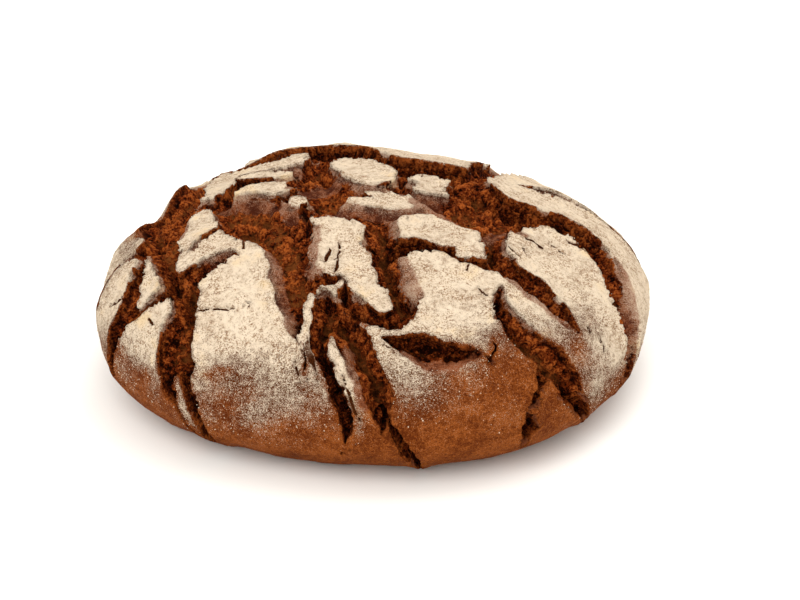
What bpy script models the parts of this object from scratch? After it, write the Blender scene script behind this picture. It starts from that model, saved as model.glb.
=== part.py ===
"""Round rye bread loaf: one solid with a domed, deeply torn crust over a flat base. Metres, +Z up."""

import bmesh
import bpy
import numpy as np

# Driving sizes of the loaf, in metres.
PLAN_RADIUS = 0.1395
DOME_RISE = 0.063
WAIST_HEIGHT = 0.036
TUCK_REACH = 0.048

# Share of height gained or lost towards the right-hand side.
LEAN = -0.045

# Roundness of the dome and of the tucked-in side below the waist, as superellipse powers.
DOME_POWER = 2.0
TUCK_POWER = 2.6

# Waves of the outline seen from above: waves per turn, and their cosine and sine share of the radius.
PLAN_WAVES = ((2, -0.002, -0.006), (3, 0.011, -0.011), (4, -0.007, 0.023))

# Relief of the torn crust, in metres.
TEAR_DEPTH = 0.0085
TEAR_WALL = 0.0032
LIP_RISE = 0.0012
LIP_REACH = 0.006
FOOT_MARGIN = 0.008
RAGGED = 0.0016
RAGGED_GRAIN = 0.011
SWELL = 0.0010
SWELL_GRAIN = 0.045

# Length of the mesh's edges, in metres.
EDGE_ON_CRUST = 0.0145
EDGE_AT_TEARS = 0.0070
TEAR_BAND = 0.0038
REFINE_ROUNDS = 3
START_SUBDIVISIONS = 5
FLAT = 1e-7

# Faces that meet at more than this angle keep a sharp edge, in radians.
SHARP_ANGLE = 0.7

MM = 0.001
STEPS_PER_SPAN = 5

# The tears, as points (x, y, half width) in millimetres on the crust laid out flat round its crown,
# with x to the right and y to the back.
TEARS = {
    "left_rift": (
        (-95, -72, 5), (-99, -60, 5), (-99, -48, 8), (-104, -33, 10), (-105, -16, 12), (-103, 2, 12),
        (-101, 20, 11), (-101, 41, 11), (-94, 72, 10), (-80, 92, 8), (-72, 118, 6), (-74, 145, 4),
    ),
    "left_split": (
        (-90, -74, 7), (-90, -89, 7), (-96, -104, 10), (-101, -118, 11), (-103, -132, 8),
        (-108, -147, 8), (-114, -164, 5),
    ),
    "leaf_foot": ((-87, -50, 1), (-84, -46, 2), (-78, -41, 2), (-71, -37, 2)),
    "left_slit": ((-65, -61, 1), (-73, -63, 3), (-82, -68, 5), (-89, -74, 6)),
    "far_left": (
        (-118, -27, 3), (-114, -39, 3), (-115, -52, 4), (-120, -62, 5), (-126, -72, 5), (-137, -78, 4),
        (-153, -83, 3),
    ),
    "left_link": ((-125, -74, 4), (-115, -78, 3), (-106, -75, 3), (-96, -74, 5)),
    "crown_left": (
        (-82, -8, 13), (-61, -21, 17), (-57, -34, 16), (-45, -47, 15), (-42, -60, 11), (-40, -75, 9),
        (-38, -90, 10), (-39, -105, 6), (-37, -122, 1),
    ),
    "crown_middle": (
        (-62, 11, 16), (-38, 11, 18), (-28, -12, 16), (-12, -28, 13), (1, -42, 9), (4, -58, 7),
        (5, -72, 7), (9, -89, 7), (14, -103, 6),
    ),
    "crown_right": (
        (-7, 2, 17), (18, 4, 16), (35, -11, 14), (47, -24, 13), (57, -41, 7), (57, -58, 6), (66, -69, 5),
        (79, -79, 5), (89, -86, 4), (100, -94, 1),
    ),
    "back_rift": (
        (-98, 50, 12), (-72, 53, 14), (-42, 58, 16), (-12, 59, 18), (13, 43, 16), (34, 26, 15),
        (50, 2, 13), (66, -13, 12), (86, -13, 10), (104, -13, 9), (115, -24, 10), (123, -39, 10),
        (131, -55, 9), (138, -69, 7), (143, -88, 2),
    ),
    "back_arm": ((43, 36, 12), (57, 55, 9), (70, 78, 8), (84, 100, 8), (92, 128, 6), (106, 152, 3)),
    "front_stem": (
        (-28, -90, 5), (-20, -99, 7), (-22, -113, 7), (-24, -126, 5), (-23, -140, 4), (-18, -152, 4),
        (-16, -163, 4), (-21, -173, 1),
    ),
    "strip_split": ((-34, -127, 1), (-34, -134, 2), (-34, -141, 1)),
    "plate_foot": (
        (-17, -90, 2), (-14, -101, 4), (-5, -111, 5), (5, -115, 5), (13, -110, 5), (16, -101, 5),
    ),
    "front_fork": ((-17, -113, 6), (-11, -126, 7), (-6, -138, 6), (0, -151, 7), (2, -162, 4), (2, -169, 1)),
    "front_foot": ((7, -162, 1), (13, -170, 3), (20, -178, 4), (26, -186, 3), (38, -202, 2)),
    "cavity": ((58, -36, 7), (65, -26, 9), (76, -15, 9)),
    "shelf": ((-1, -64, 4), (11, -65, 5), (23, -62, 5), (31, -62, 5), (37, -67, 2)),
    "shelf_end": ((41, -70, 2), (49, -70, 4), (60, -69, 5)),
    "front_slit": ((5, -125, 1), (14, -126, 5), (26, -127, 7), (38, -126, 7), (47, -121, 4), (55, -124, 1)),
    "right_split": (
        (59, -83, 1), (58, -92, 3), (61, -100, 5), (70, -109, 7), (83, -115, 8), (94, -120, 8),
        (105, -125, 6), (118, -126, 4), (140, -128, 3), (156, -130, 1),
    ),
    "right_fork": ((81, -119, 4), (83, -129, 3), (83, -139, 4), (88, -149, 4), (93, -160, 2)),
    "outer_right": ((75, 24, 1), (88, 29, 4), (105, 30, 4), (124, 27, 5), (140, 20, 5), (156, 4, 3)),
    "back_left": ((-128, 30, 2), (-136, 50, 5), (-134, 74, 6), (-144, 96, 4), (-150, 112, 2)),
    "back_stem": ((-12, 66, 12), (-18, 98, 8), (-10, 122, 8), (-18, 146, 6), (-14, 172, 4), (-20, 192, 2)),
    "back_fork": ((-38, 76, 9), (-44, 98, 6), (-40, 118, 5), (-46, 138, 2)),
    "back_slit": ((20, 132, 1), (32, 137, 5), (46, 134, 5), (58, 126, 1)),
    "back_right": ((128, 34, 3), (134, 56, 6), (128, 80, 6), (138, 104, 4), (134, 126, 2)),
}

# Pieces of crust left standing inside the torn crown, in the same form.
ISLANDS = {
    "left_leaf": ((-84, -21, 5), (-86, -31, 8), (-88, -40, 5), (-91, -47, 2)),
    "rear_leaf": ((-85, 41, 6), (-84, 24, 9), (-83, 9, 8), (-84, -2, 4)),
    "rear_patch": ((-72, 20, 5), (-61, 23, 6), (-51, 18, 5)),
    "left_patch": ((-68, -5, 5), (-59, 1, 8), (-49, -3, 7), (-41, -7, 4)),
    "rear_peak": ((-47, 32, 4), (-43, 41, 5), (-37, 46, 4)),
    "crown_disc": ((-10, 27, 9), (-4, 16, 14), (0, 6, 11)),
    "right_tab": ((27, 5, 6), (26, -6, 7), (26, -13, 5)),
    "middle_tab": ((-17, -30, 5), (-2, -26, 6), (11, -28, 5)),
    "small_tab": ((-42, -19, 4), (-36, -22, 5)),
    "right_plate": ((20, -44, 9), (30, -47, 13), (40, -53, 9), (44, -59, 6)),
    "far_patch": ((-62, 92, 5), (-52, 84, 7)),
}


def clear_scene():
    for item in list(bpy.data.objects):
        bpy.data.objects.remove(item, do_unlink=True)


def profile_table(samples=600):
    """Length along the crust from the crown, share of the plan radius, and height, down to the base."""
    turn = np.linspace(0.0, np.pi / 2, samples)
    dome_share = np.sin(turn) ** (2 / DOME_POWER)
    dome_height = WAIST_HEIGHT + DOME_RISE * np.cos(turn) ** (2 / DOME_POWER)
    tuck_share = np.cos(turn) ** (2 / TUCK_POWER)
    tuck_height = WAIST_HEIGHT - TUCK_REACH * np.sin(turn) ** (2 / TUCK_POWER)
    above_floor = tuck_height > 0
    floor_share = np.interp(0.0, tuck_height[::-1], tuck_share[::-1])
    share = np.concatenate([dome_share, tuck_share[above_floor][1:], [floor_share]])
    height = np.concatenate([dome_height, tuck_height[above_floor][1:], [0.0]])
    steps = np.hypot(np.diff(share * PLAN_RADIUS), np.diff(height))
    return np.concatenate([[0.0], np.cumsum(steps)]), share, height


LENGTHS, SHARES, HEIGHTS = profile_table()
FOOT_LENGTH = LENGTHS[-1]
WHOLE_LENGTH = FOOT_LENGTH + SHARES[-1] * PLAN_RADIUS


def plan_radius(angle):
    waves = sum(a * np.cos(k * angle) + b * np.sin(k * angle) for k, a, b in PLAN_WAVES)
    return PLAN_RADIUS * (1 + waves)


def crust_point(flat):
    """The point in space for each point (x, y) of the crust laid out flat. Past the foot it is the base."""
    length = np.hypot(flat[:, 0], flat[:, 1])
    angle = np.arctan2(flat[:, 1], flat[:, 0])
    inward = np.maximum(length - FOOT_LENGTH, 0) / PLAN_RADIUS
    share = np.maximum(np.interp(length, LENGTHS, SHARES) - inward, 0)
    radius = share * plan_radius(angle)
    right = radius * np.cos(angle)
    height = np.interp(length, LENGTHS, HEIGHTS) * (1 + LEAN * right / PLAN_RADIUS)
    return np.column_stack([right, radius * np.sin(angle), height])


def crust_normal(flat, step=0.0008):
    across = np.array([step, 0.0])
    along = np.array([0.0, step])
    right = crust_point(flat + across) - crust_point(flat - across)
    back = crust_point(flat + along) - crust_point(flat - along)
    normal = np.cross(right, back)
    return normal / np.maximum(np.linalg.norm(normal, axis=1, keepdims=True), 1e-12)


def lattice_value(cell, seed):
    """A fixed random value from -1 to 1 for each whole-numbered cell."""
    mixed = cell[:, 0] * 374761393 + cell[:, 1] * 668265263 + cell[:, 2] * 1442695041 + seed * 974634777
    mixed = (mixed ^ (mixed >> 13)) * 1274126177
    mixed = (mixed ^ (mixed >> 16)) & 0xFFFFFF
    return mixed / 0x7FFFFF - 1.0


def noise(points, grain, seed):
    """Smooth noise from about -1 to 1, with waves about as long as grain."""
    scaled = points / grain
    cell = np.floor(scaled).astype(np.int64)
    part = scaled - cell
    blend = part * part * (3 - 2 * part)
    total = np.zeros(len(points))
    for corner in np.ndindex(2, 2, 2):
        picked = np.array(corner)
        weight = np.prod(np.where(picked, blend, 1 - blend), axis=1)
        total += weight * lattice_value(cell + picked, seed)
    return total


def smooth_route(points):
    """A Catmull-Rom curve through (x, y, half width) points given in millimetres, as metres."""
    marks = np.array(points, float) * MM
    padded = np.vstack([2 * marks[0] - marks[1], marks, 2 * marks[-1] - marks[-2]])
    curve = [marks[:1]]
    for before, start, end, after in zip(padded, padded[1:], padded[2:], padded[3:]):
        t = (np.arange(STEPS_PER_SPAN) + 1)[:, None] / STEPS_PER_SPAN
        bend = 2 * before - 5 * start + 4 * end - after
        twist = 3 * start - before - 3 * end + after
        curve.append(0.5 * (2 * start + (end - before) * t + bend * t**2 + twist * t**3))
    return np.vstack(curve)


def distance_outside(flat, routes):
    """How far each point lies outside the nearest route's width. It is below zero inside."""
    nearest = np.full(len(flat), np.inf)
    for route in routes:
        for start, end in zip(route[:-1], route[1:]):
            span = end[:2] - start[:2]
            share = np.clip((flat - start[:2]) @ span / (span @ span), 0, 1)
            foot = start[:2] + share[:, None] * span
            width = start[2] + share * (end[2] - start[2])
            gap = np.hypot(*(flat - foot).T) - width
            nearest = np.minimum(nearest, gap)
    return nearest


TEAR_ROUTES = [smooth_route(points) for points in TEARS.values()]
ISLAND_ROUTES = [smooth_route(points) for points in ISLANDS.values()]


def crust_edge_distance(flat):
    """Distance to the nearest edge of crust: above zero on crust, below zero in torn crumb."""
    place = crust_point(flat)
    shift = np.column_stack([noise(place, RAGGED_GRAIN, seed) for seed in (1, 2)]) * RAGGED
    shifted = flat + shift
    torn = distance_outside(shifted, TEAR_ROUTES)
    kept = distance_outside(shifted, ISLAND_ROUTES)
    return np.maximum(torn, -kept)


def relief(flat, edge):
    """Height of the crust's relief over the plain loaf: lips beside the tears and sunken crumb in them."""
    lip = LIP_RISE * np.exp(-np.maximum(edge, 0) / LIP_REACH)
    sunk = TEAR_DEPTH * (1 - np.exp(np.minimum(edge, 0) / TEAR_WALL))
    swell = SWELL * noise(crust_point(flat), SWELL_GRAIN, 3)
    above_foot = np.clip((FOOT_LENGTH - np.hypot(*flat.T)) / FOOT_MARGIN, 0, 1)
    return (lip - sunk + swell) * above_foot


def laid_flat(directions):
    """Crust coordinates for points of a unit sphere, whose north pole is the crown."""
    across = np.hypot(directions[:, 0], directions[:, 1])
    length = np.arctan2(across, directions[:, 2]) / np.pi * WHOLE_LENGTH
    near_foot = np.abs(length - FOOT_LENGTH) < EDGE_AT_TEARS / 2
    length = np.where(near_foot, FOOT_LENGTH, length)
    heading = directions[:, :2] / np.maximum(across, 1e-12)[:, None]
    return heading * length[:, None]


def sphere_directions(mesh):
    places = np.array([vertex.co[:] for vertex in mesh.verts])
    return places / np.linalg.norm(places, axis=1, keepdims=True)


def loaf_places(mesh):
    """Where each vertex of the sphere comes to lie on the torn loaf, and its distance to an edge."""
    flat = laid_flat(sphere_directions(mesh))
    edge = crust_edge_distance(flat)
    return crust_point(flat) + crust_normal(flat) * relief(flat, edge)[:, None], edge, flat


def refine(mesh):
    """Splits the edges that are too long on the finished loaf, most of all beside the tears."""
    mesh.verts.ensure_lookup_table()
    mesh.edges.ensure_lookup_table()
    places, edge_distance, flat = loaf_places(mesh)
    ends = np.array([[vertex.index for vertex in edge.verts] for edge in mesh.edges])
    length = np.linalg.norm(places[ends[:, 0]] - places[ends[:, 1]], axis=1)
    on_side = np.hypot(*flat.T)[ends].min(axis=1) < FOOT_LENGTH - FOOT_MARGIN
    near_tear = (np.abs(edge_distance[ends]).min(axis=1) < TEAR_BAND) & on_side
    wanted = np.where(near_tear, EDGE_AT_TEARS, EDGE_ON_CRUST)
    long_edges = [mesh.edges[i] for i in np.flatnonzero((length > wanted) & on_side)]
    bmesh.ops.subdivide_edges(mesh, edges=long_edges, cuts=1)
    uncut = [face for face in mesh.faces if len(face.verts) > 3]
    bmesh.ops.triangulate(mesh, faces=uncut)
    mesh.verts.index_update()


def flatten_base(mesh):
    """Joins the base into one flat face."""
    under = [face for face in mesh.faces if max(vertex.co.z for vertex in face.verts) < FLAT]
    bmesh.ops.dissolve_faces(mesh, faces=under, use_verts=True)


def centre_on_floor(places):
    """Puts the middle of the loaf's box over the origin."""
    middle = (places.min(axis=0) + places.max(axis=0)) / 2
    return places - np.array([middle[0], middle[1], 0.0])


def crust_material():
    material = bpy.data.materials.new("crust")
    material.use_nodes = True
    shader = material.node_tree.nodes["Principled BSDF"]
    shader.inputs["Base Color"].default_value = (0.42, 0.19, 0.08, 1.0)
    shader.inputs["Roughness"].default_value = 0.75
    shader.inputs["Metallic"].default_value = 0.0
    return material


def build_loaf():
    mesh = bmesh.new()
    bmesh.ops.create_icosphere(mesh, subdivisions=START_SUBDIVISIONS, radius=1.0)
    for _ in range(REFINE_ROUNDS):
        refine(mesh)
    places = centre_on_floor(loaf_places(mesh)[0])
    for vertex, place in zip(mesh.verts, places):
        vertex.co = place
    flatten_base(mesh)
    bmesh.ops.recalc_face_normals(mesh, faces=mesh.faces)
    data = bpy.data.meshes.new("loaf")
    mesh.to_mesh(data)
    mesh.free()
    data.materials.append(crust_material())
    data.shade_smooth()
    data.set_sharp_from_angle(angle=SHARP_ANGLE)
    loaf = bpy.data.objects.new("loaf", data)
    bpy.context.scene.collection.objects.link(loaf)
    return loaf


clear_scene()
build_loaf()
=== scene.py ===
"""Round rye bread loaf: torn crust, flour and loose crumbs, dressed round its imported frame. Metres, +Z up."""

import math

import bmesh
import bpy
import numpy as np
from bpy.props import FloatProperty, FloatVectorProperty, IntProperty, PointerProperty
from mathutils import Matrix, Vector


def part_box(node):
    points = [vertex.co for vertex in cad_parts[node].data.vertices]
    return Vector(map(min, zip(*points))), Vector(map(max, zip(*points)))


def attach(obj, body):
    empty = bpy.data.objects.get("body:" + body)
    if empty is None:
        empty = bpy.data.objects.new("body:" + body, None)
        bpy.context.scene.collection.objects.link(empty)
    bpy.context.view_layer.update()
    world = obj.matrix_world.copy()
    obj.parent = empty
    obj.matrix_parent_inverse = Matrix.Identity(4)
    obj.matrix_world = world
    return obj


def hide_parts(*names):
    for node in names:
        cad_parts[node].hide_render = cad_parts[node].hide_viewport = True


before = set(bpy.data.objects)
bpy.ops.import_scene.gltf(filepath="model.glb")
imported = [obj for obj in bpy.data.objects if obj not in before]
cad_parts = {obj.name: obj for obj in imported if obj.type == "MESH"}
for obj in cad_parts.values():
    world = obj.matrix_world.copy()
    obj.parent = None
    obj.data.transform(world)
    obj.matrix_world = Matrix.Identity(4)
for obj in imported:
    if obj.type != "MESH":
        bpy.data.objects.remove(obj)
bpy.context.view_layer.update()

bl_info = {
    "name": "Rye bread loaf",
    "version": (1, 0, 0),
    "blender": (4, 5, 0),
    "location": "3D View > Sidebar > Bread",
    "description": "Makes a round, torn and floured rye loaf with its loose crumbs and a plain stage",
    "category": "Add Mesh",
}

LOAF_LOW, LOAF_HIGH = (np.array(corner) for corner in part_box("loaf"))
LOAF_SIZE = LOAF_HIGH - LOAF_LOW
MM = 0.001

# The plain loaf under its tears, from the size of its box.
PLAN_WAVES = ((2, -0.002, -0.006), (3, 0.011, -0.011), (4, -0.007, 0.023))
PLAN_SPAN = 1.9985
PLAN_RADIUS = LOAF_SIZE[0] / PLAN_SPAN
DOME_RISE = 0.628 * LOAF_SIZE[2]
WAIST_HEIGHT = 0.359 * LOAF_SIZE[2]
TUCK_REACH = 0.479 * LOAF_SIZE[2]
DOME_POWER = 2.0
TUCK_POWER = 2.6
LEAN = -0.045
STEPS_PER_SPAN = 6

# The relief that is the same everywhere. The sizes that can be set are in LoafSize.
WALL_SHARE = 0.36  # of a tear's depth that its broken wall takes
SINK_REACH = 3.2 * MM
SKIN_SLOPE = 0.75
SKIN_SHARE = 0.62  # of a tear's depth that its skin reaches down to
LIP_REACH = 4.5 * MM
SPLIT_DEPTH = 1.5 * MM
PORE_SLOPE = 1.5
SPLIT_ABOVE = 1.35  # an edge is split when it is longer than wanted by this factor
SNAP_REACH = 0.26  # of a wall's run, within which points are drawn onto its lines

# The tears, as points (x, y, half width) in millimetres on the crust laid out flat round its crown,
# with x to the right and y to the back.
TEARS = {
    "left_rift": (
        (-95, -72, 5), (-99, -60, 5), (-99, -48, 8), (-104, -33, 10), (-106, -16, 13), (-109, 2, 18),
        (-110, 20, 20), (-107, 41, 17), (-96, 70, 11), (-80, 92, 8), (-72, 118, 6), (-74, 145, 4),
    ),
    "left_split": (
        (-90, -74, 7), (-90, -89, 7), (-96, -104, 10), (-101, -118, 11), (-103, -132, 8),
        (-108, -147, 8), (-114, -164, 5),
    ),
    "leaf_foot": ((-87, -50, 1), (-84, -46, 2), (-78, -41, 2), (-71, -37, 2)),
    "left_slit": ((-65, -61, 1), (-73, -63, 3.5), (-82, -68, 6), (-89, -73, 8)),
    "far_left": (
        (-118, -27, 1.5), (-116, -39, 2), (-116, -50, 4), (-119, -62, 6), (-126, -72, 6.5), (-137, -78, 6),
        (-153, -83, 4),
    ),
    "left_rim": (
        (-112, -12, 6), (-113, -26, 7), (-121, -29, 5), (-131, -29, 3), (-140, -34, 3.5), (-147, -42, 3),
    ),
    "left_link": ((-125, -74, 4), (-115, -78, 3), (-106, -75, 3), (-96, -74, 5)),
    "crown_left": (
        (-82, -8, 13), (-61, -21, 17), (-57, -34, 16), (-45, -47, 15), (-42, -60, 11), (-40, -75, 9),
        (-38, -90, 10), (-39, -105, 6), (-37, -122, 1),
    ),
    "crown_middle": (
        (-62, 11, 16), (-38, 11, 18), (-28, -12, 16), (-12, -28, 13), (1, -42, 9), (4, -58, 7),
        (5, -72, 7), (9, -89, 7), (14, -103, 6),
    ),
    "crown_right": (
        (-7, 2, 17), (18, 4, 16), (35, -11, 14), (47, -24, 13), (57, -41, 7), (57, -58, 6), (66, -69, 5),
        (79, -79, 5), (89, -86, 4), (100, -94, 1),
    ),
    "back_rift": (
        (-98, 50, 12), (-72, 53, 14), (-42, 58, 16), (-14, 54, 16), (6, 34, 12), (22, 27, 14), (38, 22, 16),
        (50, 2, 13), (66, -13, 12), (86, -13, 10), (104, -13, 9), (115, -24, 10), (123, -39, 10),
        (133, -54, 11), (141, -69, 10), (146, -84, 6), (149, -98, 1),
    ),
    "back_arm": ((54, 28, 7), (63, 52, 10), (76, 76, 12), (88, 100, 11), (94, 128, 7), (106, 152, 3)),
    "front_stem": (
        (-28, -90, 5), (-20, -99, 7), (-23, -113, 7), (-26, -126, 5), (-23, -140, 4), (-18, -152, 3.5),
        (-14, -163, 4), (-17, -173, 1),
    ),
    "crown_back": ((-34, 22, 8), (-27, 34, 8), (-18, 44, 8)),
    "strip_split": ((-34, -127, 0.8), (-34, -134, 1.4), (-34, -140, 0.5)),
    "plate_head": ((-40, -32, 8), (-30, -35, 7), (-21, -36, 6), (-13, -40, 5)),
    "plate_foot": (
        (-17, -90, 2), (-14, -101, 4), (-5, -111, 5), (5, -115, 5), (13, -110, 5), (16, -101, 5),
    ),
    "front_fork": (
        (-17, -113, 6), (-10, -126, 7.5), (-4, -138, 7), (1, -150, 7.5), (5, -161, 4), (4, -169, 1),
    ),
    "front_foot": ((7, -162, 1), (13, -170, 3), (20, -178, 4), (26, -186, 3), (38, -202, 2)),
    "cavity": ((58, -36, 7), (65, -26, 9), (76, -15, 9)),
    "shelf": ((-1, -64, 4), (11, -65, 5), (23, -62, 5), (31, -62, 5), (37, -67, 2)),
    "shelf_end": ((41, -70, 2), (49, -70, 4), (60, -69, 5)),
    "front_slit": (
        (4, -125, 0.3), (13, -126, 4.5), (23, -127, 6.3), (33, -127, 5.8), (43, -125, 3.2), (53, -124, 0),
    ),
    "front_hook": ((54, -115, 0), (56, -121, 0.8), (55, -127, 0.3)),
    "plate_shoulder": ((3, -35, 3), (15, -33, 4.5), (28, -29, 6), (39, -34, 5.5), (50, -42, 4)),
    "right_split": (
        (59, -83, 1), (58, -92, 3), (61, -100, 5), (70, -109, 7), (83, -115, 8), (94, -120, 8),
        (105, -125, 6), (118, -126, 4), (140, -128, 3), (156, -130, 1),
    ),
    "right_fork": ((80, -121, 3), (81, -127, 3.5), (81, -132, 0.3)),
    "right_fork_hole": ((80, -134, 0.5), (81, -137, 3), (79, -141, 0.5)),
    "right_fork_foot": ((85, -144, 0.5), (84, -148, 3.5), (86, -153, 4), (93, -160, 1.5)),
    "outer_right": ((75, 24, 1), (88, 29, 4), (105, 30, 3.5), (124, 27, 3), (140, 20, 2.5), (156, 4, 2)),
    "back_left": ((-137, 54, 1), (-141, 66, 4), (-139, 82, 6), (-146, 98, 4), (-151, 112, 2)),
    "back_stem": ((-16, 92, 1), (-17, 104, 6), (-10, 122, 8), (-18, 146, 6), (-14, 172, 4), (-20, 192, 2)),
    "back_fork": ((-43, 94, 1), (-44, 104, 5), (-40, 118, 5), (-46, 138, 2)),
    "back_slit": ((20, 132, 1), (32, 137, 5), (46, 134, 5), (58, 126, 1)),
    "back_right": ((138, 40, 1), (140, 58, 5), (130, 80, 6), (138, 104, 4), (134, 126, 2)),
}

# Pieces of crust left standing inside the torn crown, in the same form.
ISLANDS = {
    "left_leaf": ((-84, -21, 5), (-86, -31, 8), (-88, -40, 5), (-91, -47, 2)),
    "rear_leaf": ((-83, 37, 5), (-83, 24, 8), (-82, 12, 7), (-84, 4, 3)),
    "rear_patch": ((-69, 22, 3), (-58, 20, 5), (-47, 17, 4)),
    "left_patch": ((-68, -4, 2), (-60, -1, 5), (-50, -3, 6), (-41, -7, 2)),
    "rear_peak": ((-47, 33, 4), (-43, 41, 5), (-37, 47, 4)),
    "crown_disc": ((-10, 25, 9), (-4, 15, 14), (0, 7, 11)),
    "split_lip": ((-101, -121, 1), (-105, -132, 2), (-109, -143, 2.2), (-114, -154, 0.5)),
    "right_tab": ((19, 5, 1.5), (25, 4, 5), (31, 3, 5.5), (37, 8, 1)),
    "right_tab_foot": ((22, -9, 1.5), (26, -5, 5), (30, -6, 5), (36, -9, 1.5)),
    "middle_tab": ((-13, -24, 1.5), (-4, -25, 3.5), (6, -26, 4), (15, -27, 2)),
    "curl": ((-27, -99, 0.6), (-24, -96, 1.2), (-20, -97, 1.2), (-18, -101, 0.8)),
    "curl_tip": ((-19, -97, 0.9), (-17, -94, 1.2), (-16, -92, 0.6)),
    "small_tab": ((-41, -22, 2), (-36, -22, 4), (-32, -24, 2)),
    "right_plate": ((22, -47, 8), (31, -48, 11), (42, -54, 8), (47, -60, 4)),
    "far_patch": ((-62, 92, 5), (-52, 84, 7)),
}

# Smooth stretched skin beside the tears, in the same form.
SKINS = {
    "left_plate_shoulder": (
        (-51, -59, 2.5), (-47, -77, 2.5), (-45, -93, 2.5), (-42, -110, 2.5), (-39, -119, 1.5),
    ),
    "middle_plate_left": ((-27, -50, 2.5), (-29, -62, 2.5), (-29, -71, 2.5), (-31, -80, 2.5), (-26, -84, 2)),
    "middle_plate_top": ((-23, -37, 2.5), (-13, -39, 2), (-5, -47, 2)),
    "leaf_top": ((-85, -10, 3), (-76, -7, 3), (-64, -10, 3), (-51, -15, 3)),
    "small_tab_left": ((-45, -16, 3), (-41, -28, 3), (-32, -36, 3)),
    "leaf_left": ((-94, -17, 2.5), (-93, -37, 2.5)),
    "disc_left": ((-41, -3, 4), (-31, -1, 5), (-21, 7, 5)),
    "disc_front": ((-8, -6, 3), (6, -7, 3), (14, -12, 3)),
    "middle_tab_front": ((-21, -30, 4), (-12, -29, 4), (-3, -32, 3), (10, -33, 3)),
    "slit_sill": ((-85, -71, 2), (-76, -65, 2.5), (-68, -62, 1.5)),
    "tab_front": ((20, -20, 4), (31, -17, 4)),
    "plate_top": (
        (6, -34, 3), (15, -32, 4.5), (28, -28, 6), (39, -33, 6), (51, -41, 4), (63, -33, 4), (73, -36, 3),
    ),
    "plate_left": ((9, -39, 2), (11, -54, 2)),
    "stem_right": ((14, -74, 3), (17, -88, 3.5), (20, -98, 3)),
    "shelf_sill": ((62, -74, 2), (72, -83, 2.5), (82, -89, 2), (95, -95, 1)),
    "front_sill": ((14, -130, 2), (25, -134, 2.5), (37, -132, 2.5), (48, -125, 1.5)),
    "right_slope": ((128, -18, 3), (136, -33, 4), (142, -50, 4.5), (147, -65, 4), (148, -80, 3)),
    "right_split_left": ((57, -96, 1.5), (63, -110, 2), (72, -117, 2)),
    "fork_lobe": ((-13, -128, 2), (-11, -142, 2), (-6, -156, 2)),
    "back_shoulder": ((-22, 100, 2.5), (-15, 122, 2.5), (-22, 142, 2.5)),
    "back_slope": ((66, 84, 3), (80, 104, 3), (88, 128, 2.5)),
}

# Thin splits in the crust, in the same form.
SPLITS = {
    "plate_line": ((-85, -95, 0.6), (-78, -95, 0.55), (-70, -98, 0.4), (-61, -99, 0.2)),
    "fringe_a": ((-37, -124, 0.1), (-35, -135, 0.3), (-31, -147, 0.05)),
    "fringe_b": ((-33, -122, 0.1), (-31, -133, 0.3), (-28, -145, 0.05)),
    "fringe_c": ((-40, -128, 0.05), (-38, -138, 0.3), (-35, -149, 0.05)),
    "strip_line": ((-16, -140, 0.1), (-12, -151, 0.4), (-7, -163, 0.3)),
    "plate_nick": ((-61, -91, 0.3), (-60, -100, 0.5)),
    "far_left_arc": ((-136, -56, 0.8), (-128, -60, 1.2), (-124, -58, 0.6)),
    "left_nick": ((-110, -84, 0.5), (-108, -89, 0.7)),
    "middle_a": ((-21, -66, 0.3), (-23, -73, 0.9), (-25, -78, 0.3)),
    "middle_b": ((-17, -63, 0.2), (-17, -70, 0.7), (-19, -76, 0.3)),
    "middle_c": ((-17, -74, 0.3), (-18, -80, 0.9), (-19, -85, 0.6)),
    "strip_nick": ((-62, -51, 0.3), (-61, -59, 0.6)),
    "right_a": ((65, -52, 0.7), (70, -60, 0.6)),
    "right_b": ((72, -47, 0.8), (74, -55, 0.5)),
    "right_c": ((75, -39, 0.9), (81, -42, 1.3), (87, -46, 0.5)),
    "right_d": ((87, -36, 0.7), (92, -40, 0.9), (96, -42, 0.5)),
    "right_e": ((98, -27, 0.7), (104, -29, 1.2), (109, -33, 0.6)),
    "front_notch": ((42, -77, 0.4), (44, -73, 0.4)),
    "front_nick": ((49, -86, 0.4), (52, -91, 0.5)),
    "right_f": ((105, -88, 0.5), (110, -93, 0.6)),
    "right_g": ((114, -87, 0.5), (118, -94, 0.6)),
}

# Places where a tear goes deeper, in the same form.
HOLLOWS = {
    "right_cavity": ((54, 4, 5), (64, -6, 7), (78, -8, 5), (92, -10, 4)),
    "back_deep": ((-64, 50, 6), (-36, 58, 8), (-10, 54, 8), (8, 36, 7), (28, 33, 6), (46, 30, 5)),
    "lip_deep": ((92, -4, 3), (104, -5, 3), (114, -12, 3)),
    "left_deep": ((-108, 6, 5), (-106, 38, 6), (-97, 66, 5)),
    "split_deep": ((-88, -78, 3), (-87, -94, 3), (-91, -108, 4), (-98, -128, 4), (-104, -142, 3)),
    "stem_deep": ((-22, -138, 1.5), (-17, -156, 1.5)),
    "fork_deep": ((-6, -134, 2), (1, -150, 2.5), (2, -162, 1.5)),
    "shelf_deep": ((4, -63, 2.5), (24, -60, 2.5), (33, -61, 2)),
    "shelf_end_deep": ((46, -69, 2), (60, -68, 2.5), (74, -76, 2)),
    "slit_deep": ((14, -124, 2), (27, -124, 3), (42, -122, 2)),
    "back_wall": (
        (-98, 62, 3), (-72, 67, 4), (-42, 74, 5), (-13, 70, 5), (6, 46, 4), (24, 41, 4), (44, 39, 4),
    ),
    "crown_deep": ((-66, -20, 4), (-56, -24, 5)),
    "foot_deep": ((-20, -91, 2.5), (-14, -97, 3)),
}

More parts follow.
